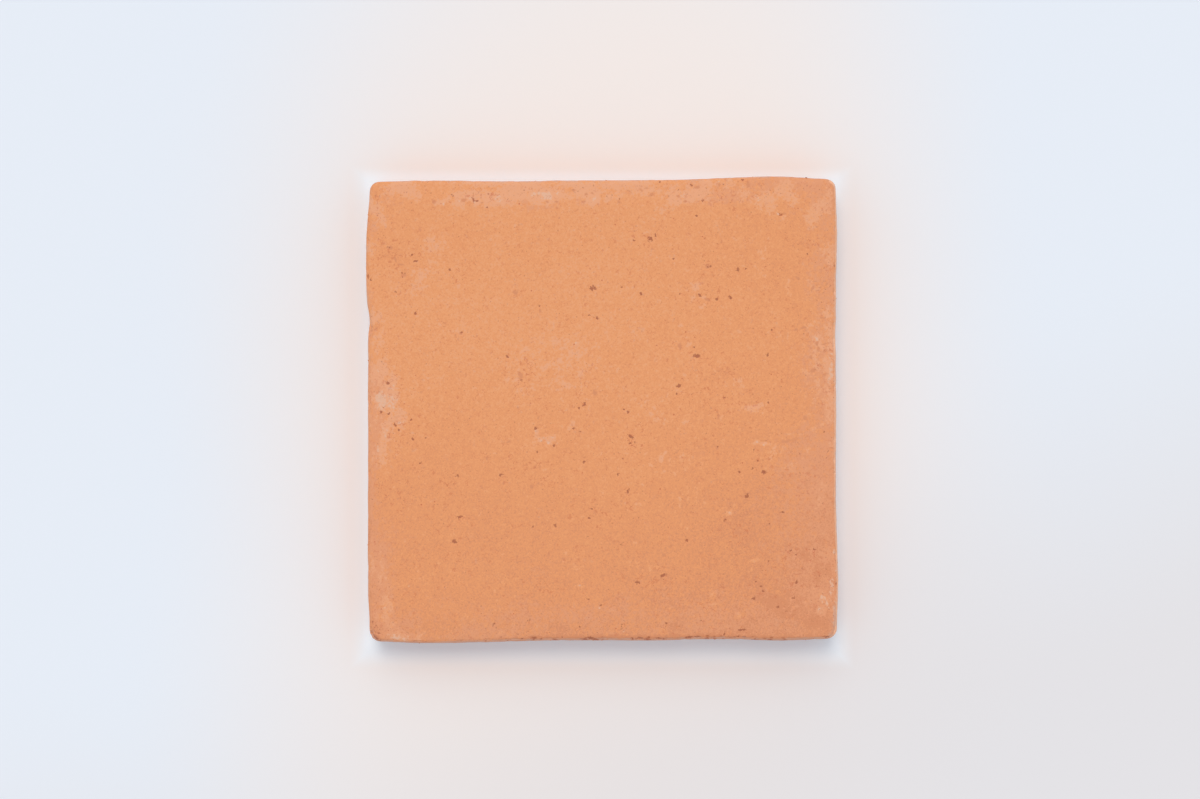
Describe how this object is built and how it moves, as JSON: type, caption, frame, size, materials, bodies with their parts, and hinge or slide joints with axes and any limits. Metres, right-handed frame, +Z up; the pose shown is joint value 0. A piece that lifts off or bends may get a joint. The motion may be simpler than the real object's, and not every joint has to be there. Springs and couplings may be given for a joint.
{
  "type": "terracotta floor tile",
  "caption": "Hand-made square floor tile of fired terracotta clay, unglazed, with soft worn edges, laid flat on its bed face",
  "frame": {"origin": "middle of the footprint, on the bed face that lies on the floor", "axes": "+Z up out of the wearing face, +X to the east edge, +Y to the north edge"},
  "size_m": [0.2018, 0.1996, 0.02],
  "materials": {
    "fired_clay": "matte"
  },
  "bodies": {
    "root": {"tile": "fired_clay"}
  },
  "joints": []
}
